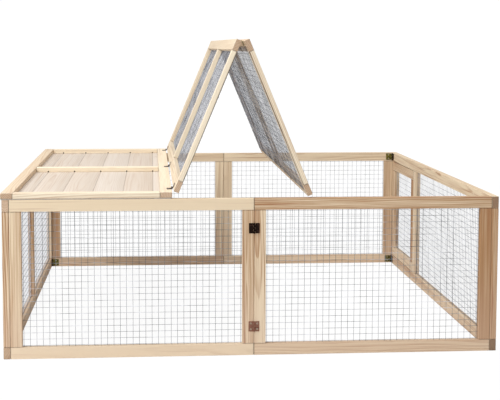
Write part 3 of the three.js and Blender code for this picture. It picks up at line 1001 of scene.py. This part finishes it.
# How far a wire's middle lies from the net's, in radii.
WELD = 0.85
STAPLE_INSET, STAPLE_LIFT, STAPLE_SHIFT = 9 * MM, 0.2 * MM, 3 * MM
# From a net's front and back to the outer staples of its sides; from its sides to the outer ones
# across, and their number.
STAPLE_ROWS, STAPLE_COLUMNS = (40 * MM, 30 * MM), (45 * MM, 4)
STAPLE_LEAN, LEG_SHARE = 0.25, 3.5


def wires(starts, ends, radius, sides, sway, luck, rings=5):
    """Round wires. Ring k of a wire lies at start + u·(end − start) + sway·sin(π·n·u)·side with
    u = k / (rings − 1), and holds radius·(cos a·side + sin a·up)."""
    count = len(starts)
    up = np.broadcast_to(Z, starts.shape)
    side = np.cross(up, unit(ends - starts))
    u = np.linspace(0, 1, rings)
    waves = luck.integers(1, 4, (count, 1))
    swing = sway * luck.uniform(-1, 1, (count, 1)) * np.sin(math.pi * waves * u)
    centre = starts[:, None] + u[None, :, None] * (ends - starts)[:, None]
    centre = centre + swing[..., None] * side[:, None]
    ring = circle(sides, radius)
    offsets = ring[None, :, :1] * side[:, None] + ring[None, :, 1:] * up[:, None]
    points = centre[:, :, None] + offsets[:, None]
    step = (np.arange(count) * rings * sides)[:, None, None]
    body = (ring_faces(rings, sides)[None] + step).reshape(-1, 4)
    caps = np.stack([np.arange(sides)[::-1], np.arange(sides) + (rings - 1) * sides])
    return points.reshape(-1, 3), [body, (caps[None] + step).reshape(-1, sides)]


def net_shape(low, high, entry, sway, sizes, wire_shade, luck):
    """A welded net in the XY plane of its axes: wires along X on top, wires along Y under them,
    each set a whole number of meshes apart about the middle, and pressed a little into each other.
    The wires along X and along Y are each darkened by a share, as painted shade."""
    shape = Shape()
    radius = sizes.wire / 2
    middle, span = (low + high) / 2, high - low
    for along, across, layer in ((0, 1, WELD), (1, 0, -WELD)):
        count = int((span[across] - sizes.wire) / sizes.pitch)
        rows = (np.arange(count + 1) - count / 2) * sizes.pitch + middle[across]
        starts = np.zeros((len(rows), 3))
        starts[:, across] = rows
        starts[:, 2] = middle[2] + layer * radius
        ends = starts.copy()
        starts[:, along] = low[along] - entry
        ends[:, along] = high[along] + entry
        points, faces = wires(starts, ends, radius, sizes.sides, sway, luck)
        shape.add(points, faces, soil=np.full(len(points), wire_shade[along]))
    return shape


class RABBIT_RUN_OT_nets(bpy.types.Operator):
    """Welded wire nets of the walls, the door and the two mesh roof panels"""

    bl_idname = "rabbit_run.nets"
    bl_label = "Wire Nets"

    def execute(self, context):
        sizes = context.scene.rabbit_run_net
        for node in sorted(n for n in NODES if n.endswith("_net")):
            entry, sway, steel = sizes.entry, sizes.sway, "wire"
            axes = FACING_FRONT if node.startswith(("front", "back")) else FACING_RIGHT
            if node.startswith("roof"):
                entry, sway, steel, axes = 0.0, sizes.roof_sway, "roof_wire", axes_of(node)
            low, high = local_box(node, axes)
            if node.startswith("roof"):
                stile = local_box(node.removesuffix("net") + "left_stile", axes)
                low[1], high[1] = stile[0][1] + sizes.edge, stile[1][1] - sizes.edge
            tone, wire_shade = next(cast for key, cast in NET_CASTS.items() if node.startswith(key))
            shape = net_shape(low, high, entry, sway, sizes, wire_shade, chance(node))
            add_metal(node + "_mesh", shape, axes, steel, BODY_OF[node], [node], tone)
        return {"FINISHED"}


def staple(place, along, width, bend):
    """A staple's crown over a net, in the XY plane with its legs along +Z: a straight between two
    quarter bends of one wire's diameter, then legs that go into the timber."""
    turn = np.linspace(0, math.pi / 2, 4)
    quarter = np.stack([np.sin(turn), 1 - np.cos(turn)], -1) * bend
    half = width / 2 - bend
    right = np.concatenate([quarter + [half, 0], [[half + bend, LEG_SHARE * bend]]])
    path = np.concatenate([(right * [-1, 1])[::-1], right])
    points = place + path[:, :1] * along + path[:, 1:] * Z
    return tube(points, np.cross(Z, along), bend / 2, 6)


class RABBIT_RUN_OT_staples(bpy.types.Operator):
    """Staples that hold the roof nets under their frames"""

    bl_idname = "rabbit_run.staples"
    bl_label = "Net Staples"

    def execute(self, context):
        sizes = context.scene.rabbit_run_net
        for panel in ("roof_2", "roof_3"):
            axes = PANEL_AXES[panel]
            low, high = local_box(panel + "_net", axes)
            (first, last), (side, columns) = STAPLE_ROWS, STAPLE_COLUMNS
            under, middle = low[2] + STAPLE_LIFT, (low[1] + high[1]) / 2
            near, far = low + STAPLE_INSET, high - STAPLE_INSET
            rows = np.arange(low[1] + first, high[1] - last, sizes.staple_pitch)
            cross = np.linspace(low[0] + side, high[0] - side, columns)
            spots = [(x, y, X) for y in rows for x in (near[0], far[0])]
            spots += [(x, y, Y) for x in cross for y in (near[1], middle, far[1])]
            luck, shape = chance(panel + "_staples"), Shape()
            for x, y, along in spots:
                lean = luck.uniform(-STAPLE_LEAN, STAPLE_LEAN)
                direction = along * math.cos(lean) + np.cross(Z, along) * math.sin(lean)
                shift = luck.uniform(-STAPLE_SHIFT, STAPLE_SHIFT, 2)
                place = np.array([x, y, under]) + [*shift, 0]
                shape.add(*staple(place, direction, sizes.staple_width, sizes.staple_wire))
            add_metal(panel + "_staples", shape, axes, "wire", panel)
        return {"FINISHED"}


# ---------------------------------------------------------------- fittings

# A screw head's rings and the sizes of its cross and rim, as shares of its radius.
HEAD_SHARES = np.array([1.0, 0.94, 0.82, 0.66, 0.56, 0.44, 0.32, 0.2, 0.08])
CROSS_ARM, CROSS_REACH, CROSS_DEPTH, RIM_DEPTH = 0.17, 0.6, 0.45, 0.35
HEAD_HEIGHT, HEAD_LIFT = 0.45 * MM, 0.05 * MM
SEAT_GAP, KNUCKLE_GAP, PIN_GAP = 0.08 * MM, 0.9 * MM, 0.05 * MM
LEAF_BEVEL, LEAF_CORNER, LEAF_LAP = 0.25 * MM, 1.2 * MM, 0.6 * MM
KNUCKLES, PIN_PROUD, PIN_BULGE, SCREW_INSET = 5, 0.4 * MM, 0.6, 0.22
BUTTON_BEVEL, BUTTON_ROUND, BUTTON_SCREW_LIFT = 0.7 * MM, 0.499, 0.3 * MM
BUTTON_HEAD, BUTTON_HEAD_SHARE, BUTTON_TURN = 0.9 * MM, 1.3, 0.4
RAIL_HEAD, RAIL_TURN = 0.5 * MM, 0.7
EYE_WIRE, EYE_RING, EYE_STEM = 1.1 * MM, 4.2 * MM, 6 * MM
# How far the eye lies from its stile's front end, in metres, and under it, in wires.
EYE_PLACE, EYE_DROP = 0.37, 1.05


def screw_head(radius, centre, height, turned, sides=24):
    """A crowned screw head: height·(1 − share²) over its radius, less a cross-shaped recess where
    a point lies within the cross's arms, above a short straight rim."""
    turn = np.arange(sides) * FULL_TURN / sides
    share = HEAD_SHARES[:, None]
    x, y = share * radius * np.cos(turn), share * radius * np.sin(turn)
    spun_x = abs(x * math.cos(turned) + y * math.sin(turned))
    spun_y = abs(y * math.cos(turned) - x * math.sin(turned))
    in_cross = np.minimum(spun_x, spun_y) < CROSS_ARM * radius
    in_cross &= np.maximum(spun_x, spun_y) < CROSS_REACH * radius
    z = height * (1 - share**2) - np.where(in_cross, CROSS_DEPTH * radius, 0)
    crown = np.stack([x + centre[0], y + centre[1], z + centre[2]], -1)
    return swept(np.concatenate([crown[:1] - [0, 0, RIM_DEPTH * radius], crown]))


def knuckle_line(floor, radius, reach):
    """Middle line of a leaf's sheet in the XZ plane, the pin at zero: in from its reach at the
    floor's height, up to the radius, then three hundred degrees round the pin."""
    turn = np.radians(np.linspace(-90, -385, 22))
    curl = radius * np.stack([np.cos(turn), np.sin(turn)], -1)
    return np.concatenate([[[reach, floor], [0.8 * reach, floor], [0.35 * reach, -radius]], curl])


def hinge_leaf(rise, long, width, with_pin, fittings):
    """One leaf of a butt hinge along its own axes: X along the face that it is screwed to, Y along
    the pin, Z away from the face, the pin at zero and the face at minus the rise. Returns the leaf
    and its two screws."""
    thick = fittings.leaf_thickness
    clear = fittings.knuckle + KNUCKLE_GAP
    middle = (clear + width) / 2
    bottom, top = SEAT_GAP - rise, SEAT_GAP - rise + thick
    levels = [(0, bottom), (0, top - LEAF_BEVEL), (LEAF_BEVEL, top)]
    leaf = Shape().add(*slab(width - clear, long, LEAF_CORNER, levels, (middle, 0)))
    last, half, run = KNUCKLES - 1, long / 2, fittings.running_gap / 2
    line = knuckle_line(bottom + thick / 2, fittings.knuckle - thick / 2, clear + LEAF_LAP)
    for i in range(0 if with_pin else 1, KNUCKLES, 2):
        low = -half + i * long / KNUCKLES + (run if i else 0)
        high = -half + (i + 1) * long / KNUCKLES - (run if i < last else 0)
        leaf.add(*strip(line, thick, low, high))
    if with_pin:
        pin, tip = fittings.knuckle - thick - PIN_GAP, half + PIN_PROUD
        leaf.add(*rod((0, -tip, 0), (0, tip, 0), pin, PIN_BULGE))
    screws = Shape()
    luck = chance(f"screws {long:.4f} {with_pin}")
    for y in (-half + SCREW_INSET * long, half - SCREW_INSET * long):
        centre = (middle, y, top + HEAD_LIFT)
        screws.add(*screw_head(fittings.screw_radius, centre, HEAD_HEIGHT, luck.uniform(0, 3)))
    return leaf, screws


def add_leaf(name, axes, rise, size, with_pin, metal, body, replaced=(), tone=0.0, screw="screw"):
    """A hinge leaf and its screws. The axes stand at the pin: X along the face that carries the
    leaf, Y along the pin, Z out of the face. The size is the leaf's length along the pin and its
    width."""
    fittings = bpy.context.scene.rabbit_run_fitting
    leaf, screws = hinge_leaf(rise, *size, with_pin, fittings)
    add_metal(name, leaf, axes, metal, body, replaced, tone)
    made = screws.moved(axes)
    dress(name + "_screws", made, [FINISH[screw]], body, METAL_SLOT["screw"])


class RABBIT_RUN_OT_wall_hinges(bpy.types.Operator):
    """Hinges between the halves of the front and back walls, and at the four corners inside"""

    bl_idname = "rabbit_run.wall_hinges"
    bl_label = "Wall Hinges"

    def execute(self, context):
        fittings = context.scene.rabbit_run_fitting
        size = (fittings.hinge_length, fittings.leaf_width)
        # Each level's height, the share of the coppery colour on its leaves and its screws' finish; the coppery
        # colour on the lower hinges paints their pinkish reflection.
        levels = {
            "lower": (fittings.centre_low, 0.3, "screw"),
            "upper": (fittings.centre_high, -0.1, "bronze"),
        }
        for side, out in (("front", -Y), ("back", Y)):
            pin = joint_place(side + "_centre_fold")
            face = local_box(side + "_left_top_rail")[0 if side == "front" else 1][1]
            rise = abs(pin[1] - face)
            for level, (height, wear_and_sheen, screw) in levels.items():
                for half, along in (("left", -X), ("right", X)):
                    axes = Axes((pin[0], pin[1], height), along, Z, out)
                    name, body = f"{side}_{level}_hinge_{half}_leaf", f"{side}_{half}"
                    look = (half == "left", "bronze", body, (), wear_and_sheen, screw)
                    add_leaf(name, axes, rise, size, *look)
        self.corners(fittings)
        return {"FINISHED"}

    def corners(self, fittings):
        """One leaf on the side wall's rail, one on the half's rail, and the pin in the corner."""
        size = (fittings.corner_length, fittings.corner_width)
        front_left, front_right = joint_place("wall_fold"), joint_place("front_right_corner_fold")
        back_y = joint_place("back_left_corner_fold")[1]
        for side, x, inward in (("left", front_left[0], X), ("right", front_right[0], -X)):
            face = local_box(side + "_wall_top_rail")[1 if side == "left" else 0][0]
            rise = abs(x - face)
            for end, y, forward in (("front", front_left[1], Y), ("back", back_y, -Y)):
                for level in ("top", "bottom"):
                    height = sum(local_box(f"{side}_wall_{level}_rail"))[2] / 2
                    pin = np.array([x, y, height])
                    name = f"{end}_{side}_{level}_corner_hinge"
                    # The two leaves of one corner hinge take different steels: the dark bronzed steel of the side
                    # leaf paints the shade on it.
                    leaves = (
                        ("_side_leaf", forward, inward, True, "bronze", side + "_wall"),
                        ("_half_leaf", inward, forward, False, "passivated", f"{end}_{side}"),
                    )
                    for leaf, along, out, *look in leaves:
                        add_leaf(name + leaf, Axes(pin, along, Z, out), rise, size, *look)


def hinge_rows(fittings):
    """Where the hinges sit along a roof panel: near both ends and in the middle."""
    low, high = local_box("roof_1_left_stile")
    return [low[1] + fittings.roof_inset, (low[1] + high[1]) / 2, high[1] - fittings.roof_inset]


class RABBIT_RUN_OT_roof_hinges(bpy.types.Operator):
    """Hinges on top between the first two roof panels, and under the ridge between the last two"""

    bl_idname = "rabbit_run.roof_hinges"
    bl_label = "Roof Hinges"

    def execute(self, context):
        fittings = context.scene.rabbit_run_fitting
        size = (fittings.hinge_length, fittings.leaf_width)
        second, third = PANEL_AXES["roof_2"].rows, PANEL_AXES["roof_3"].rows
        lift, ridge = joint_place("roof_lift"), joint_place("ridge_fold")
        above = lift[2] - local_box("roof_1_right_stile")[1][2]
        below = local_box("roof_3_left_stile", PANEL_AXES["roof_3"])[0][2]
        for row, y in enumerate(hinge_rows(fittings), 1):
            lift[1] = ridge[1] = y
            # Piece, leaf, pin, direction along the leaf, direction out of its face, rise and body.
            hinges = (
                ("roof", "fixed", lift, -X, Z, above, "left_wall"),
                ("roof", "lifted", lift, second[0], second[2], above, "roof_2"),
                ("ridge", "roof_2", ridge, -second[0], -second[2], below, "roof_2"),
                ("ridge", "roof_3", ridge, third[0], -third[2], below, "roof_3"),
            )
            for place, (hinge, leaf, pin, along, out, rise, body) in enumerate(hinges):
                node = f"{hinge}_hinge_{leaf}_leaf"
                replaced = [node] if row == 2 else []
                metal, tone = ("passivated", -0.3) if hinge == "ridge" else ("bronze", 0.0)
                look = (place % 2 == 0, metal, body, replaced, tone)
                add_leaf(f"{node}_{row}", Axes(pin, along, Y, out), rise, size, *look)
        return {"FINISHED"}


class RABBIT_RUN_OT_door_fittings(bpy.types.Operator):
    """Hinges of the door and the turn button that keeps it shut"""

    bl_idname = "rabbit_run.door_fittings"
    bl_label = "Door Fittings"

    def execute(self, context):
        fittings = context.scene.rabbit_run_fitting
        size = (fittings.hinge_length, fittings.leaf_width)
        pin = joint_place("door_swing")
        rise = pin[0] - local_box("right_wall_mid_post")[1][0]
        for level, height in (("upper", pin[2]), ("lower", fittings.door_low)):
            for leaf, along, body in (("post", -Y, "right_wall"), ("door", Y, "door")):
                axes = Axes((pin[0], pin[1], height), along, Z, X)
                replaced = [f"door_hinge_{leaf}_leaf"] if level == "upper" else []
                name = f"door_{level}_hinge_{leaf}_leaf"
                add_leaf(name, axes, rise, size, leaf == "post", "bronze", body, replaced)
        self.button(fittings)
        return {"FINISHED"}

    def button(self, fittings):
        """A capsule plate with bevelled edges and a screw through its pivot."""
        low, high = local_box("door_turn_button", FACING_RIGHT)
        size, centre = high - low, (low + high) / 2
        levels = [(BUTTON_BEVEL, low[2]), (0, low[2] + BUTTON_BEVEL)]
        levels += [(0, high[2] - BUTTON_BEVEL), (BUTTON_BEVEL, high[2])]
        plate = Shape().add(*slab(size[0], size[1], BUTTON_ROUND * size[0], levels, centre[:2]))
        replaced = ["door_turn_button"]
        add_metal("turn_button", plate, FACING_RIGHT, "bronze", "turn_button", replaced)
        head = (centre[0], centre[1], high[2] + BUTTON_SCREW_LIFT)
        radius = BUTTON_HEAD_SHARE * fittings.screw_radius
        screw = Shape().add(*screw_head(radius, head, BUTTON_HEAD, BUTTON_TURN))
        add_metal("turn_button_screw", screw, FACING_RIGHT, "screw", "right_wall")


class RABBIT_RUN_OT_small_fixings(bpy.types.Operator):
    """Screws in the side walls' top rails, and the screw eye under the last roof panel's foot"""

    bl_idname = "rabbit_run.small_fixings"
    bl_label = "Small Fixings"

    def execute(self, context):
        fittings = context.scene.rabbit_run_fitting
        for side, face in (("left", 1), ("right", 0)):
            low, high = local_box(side + "_wall_top_rail")
            x, z = (low, high)[face][0], (low[2] + high[2]) / 2
            axes = Axes((x, 0, z), Z, Y, X if face else -X)
            screws = Shape()
            for place, along in enumerate((fittings.rail_screw_front, fittings.rail_screw_rear)):
                centre = (0, low[1] + along, HEAD_LIFT)
                turned = RAIL_TURN + place
                screws.add(*screw_head(fittings.screw_radius, centre, RAIL_HEAD, turned))
            add_metal(side + "_wall_rail_screws", screws, axes, "screw", side + "_wall")
        self.eye()
        return {"FINISHED"}

    def eye(self):
        """A wire ring that lies flat under the timber, on a stem that runs up into it."""
        axes = PANEL_AXES["roof_3"]
        low, high = local_box("roof_3_right_stile", axes)
        turn = np.radians(np.linspace(0, -325, 26))
        loop = np.column_stack([np.cos(turn), np.sin(turn), np.zeros(len(turn))]) * EYE_RING
        under = low[2] - EYE_DROP * EYE_WIRE
        centre = np.array([(low[0] + high[0]) / 2, low[1] + EYE_PLACE, under])
        foot = centre + EYE_RING * X
        shape = Shape().add(*tube(centre + loop, Z, EYE_WIRE))
        shape.add(*rod(foot, foot + EYE_STEM * Z, EYE_WIRE))
        add_metal("roof_3_screw_eye", shape, axes, "bronze", "roof_3")


# ---------------------------------------------------------------- stage

# Each lamp's place, the point that it faces and its size. Its power is a setting.
LAMPS = {
    "key": ((-2.8, -2.1, 3.6), (0, 0, 0.2), 2.5),
    "fill": ((1.0, -5.0, 2.0), (0, 0, 0.2), 3.0),
    "top": ((0.0, 0.4, 4.4), (0.0, 0.6, 0.2), 4.0),
}
FLOOR_CORNERS = ((-1, -1), (1, -1), (1, 1), (-1, 1))
FLOOR_REACH, FLOOR_WHITE = 60.0, 0.93
FULL_WHITE, REFLECTED_WHITE = 1.02, 0.35
# The share of the floor's white that is given off near the run, and where it rises to all of it.
GIVEN_NEAR, GIVEN_FROM, GIVEN_TO = 0.92, 1.1, 2.6
SENSOR_WIDTH = 36


def camera_matrix(place, turn, dip, roll):
    """Columns right, up and back of a camera that looks along +Y, turned right, dipped and
    rolled."""
    level = np.array([math.cos(turn), -math.sin(turn), 0])
    flat = math.cos(dip)
    ahead = np.array([math.sin(turn) * flat, math.cos(turn) * flat, -math.sin(dip)])
    upright = np.cross(level, ahead)
    right = level * math.cos(roll) + upright * math.sin(roll)
    up = np.cross(right, ahead)
    matrix = np.eye(4)
    matrix[:3] = np.column_stack([right, up, -ahead, place])
    return matrix


def lamp(name, place, target, size, power):
    """A square lamp at a place, facing a target."""
    light = bpy.data.lights.new(name, "AREA")
    light.shape, light.size, light.energy = "SQUARE", size, power
    made = bpy.data.objects.new(name, light)
    ahead = unit(np.subtract(target, place))
    right = unit(np.cross(ahead, Z))
    matrix = np.eye(4)
    matrix[:3] = np.column_stack([right, np.cross(right, ahead), -ahead, place])
    made.matrix_world = matrix.T.tolist()
    bpy.context.scene.collection.objects.link(made)


class RABBIT_RUN_OT_stage(bpy.types.Operator):
    """White floor that keeps the shadows, an even sky, three large lamps and the camera"""

    bl_idname = "rabbit_run.stage"
    bl_label = "Stage"

    def execute(self, context):
        settings, scene = context.scene.rabbit_run_stage, context.scene
        scene.view_settings.view_transform = "Standard"
        self.floor()
        self.sky(scene, settings)
        for name, (place, target, size) in LAMPS.items():
            lamp(name + "_lamp", place, target, size, getattr(settings, name))
        data = bpy.data.cameras.new("camera")
        data.lens, data.sensor_width = settings.focal, SENSOR_WIDTH
        data.shift_x, data.shift_y = settings.shift_x, settings.shift_y
        data.clip_end = 200
        camera = bpy.data.objects.new("camera", data)
        turn, dip, roll = settings.camera_turn, settings.camera_dip, settings.camera_roll
        camera.matrix_world = camera_matrix(settings.camera_place, turn, dip, roll).T.tolist()
        scene.collection.objects.link(camera)
        scene.camera = camera
        return {"FINISHED"}

    def floor(self):
        """A wide plane. To the camera, part of its white is given off so that shadows stay faint,
        and all of it far away, where the plane meets the white sky. Shiny metal sees it dim."""
        s = Shader(bpy.data.materials.new("floor_white"))
        diffuse = s.node("BsdfDiffuse", {"Color": (*[FLOOR_WHITE] * 3, 1)})
        white, dim = (s.glow("Emission", share) for share in (FULL_WHITE, REFLECTED_WHITE))
        given = s.length(s.place()).step(GIVEN_FROM, GIVEN_TO) * (1 - GIVEN_NEAR) + GIVEN_NEAR
        seen = s.blend(s.ray("Camera") * given, diffuse, white)
        s.shown("Material", s.blend(s.ray("Glossy"), seen, dim))
        points = [(x * FLOOR_REACH, y * FLOOR_REACH, 0) for x, y in FLOOR_CORNERS]
        mesh = bpy.data.meshes.new("floor")
        mesh.from_pydata(points, [], [(0, 1, 2, 3)])
        mesh.materials.append(s.owner)
        floor = bpy.data.objects.new("floor", mesh)
        bpy.context.scene.collection.objects.link(floor)

    def sky(self, scene, settings):
        """Even white light, which the camera sees at full white."""
        s = Shader(bpy.data.worlds.new("sky"))
        lit, seen = (s.glow("Background", share) for share in (settings.sky, FULL_WHITE))
        scene.world = s.shown("World", s.blend(s.ray("Camera"), lit, seen))


# ---------------------------------------------------------------- add-on

GROUPS = {
    "rabbit_run_timber": TimberSizes,
    "rabbit_run_net": NetSizes,
    "rabbit_run_fitting": FittingSizes,
    "rabbit_run_finish": Finishes,
    "rabbit_run_stage": StageSettings,
}
OPERATORS = (
    RABBIT_RUN_OT_stage,
    RABBIT_RUN_OT_materials,
    RABBIT_RUN_OT_wall_timbers,
    RABBIT_RUN_OT_door_timbers,
    RABBIT_RUN_OT_roof_timbers,
    RABBIT_RUN_OT_roof_boards,
    RABBIT_RUN_OT_nets,
    RABBIT_RUN_OT_staples,
    RABBIT_RUN_OT_wall_hinges,
    RABBIT_RUN_OT_roof_hinges,
    RABBIT_RUN_OT_door_fittings,
    RABBIT_RUN_OT_small_fixings,
)


class RABBIT_RUN_PT_panel(bpy.types.Panel):
    """Sizes and colours of the run, and a button for each group of pieces"""

    bl_idname = "RABBIT_RUN_PT_panel"
    bl_label = "Rabbit Run"
    bl_space_type = "VIEW_3D"
    bl_region_type = "UI"
    bl_category = "Rabbit Run"

    def draw(self, context):
        for name, group in GROUPS.items():
            box = self.layout.box()
            box.label(text=group.__doc__)
            for key in group.__annotations__:
                box.prop(getattr(context.scene, name), key)
        for operator in OPERATORS:
            self.layout.operator(operator.bl_idname)


def register():
    for name, group in GROUPS.items():
        bpy.utils.register_class(group)
        setattr(bpy.types.Scene, name, PointerProperty(type=group))
    for item in (*OPERATORS, RABBIT_RUN_PT_panel):
        bpy.utils.register_class(item)


def unregister():
    for item in (RABBIT_RUN_PT_panel, *reversed(OPERATORS)):
        bpy.utils.unregister_class(item)
    for name, group in reversed(list(GROUPS.items())):
        delattr(bpy.types.Scene, name)
        bpy.utils.unregister_class(group)


def main():
    """Builds the whole run."""
    register()
    for operator in OPERATORS:
        group, name = operator.bl_idname.split(".")
        getattr(getattr(bpy.ops, group), name)()


if __name__ == "__main__":
    main()
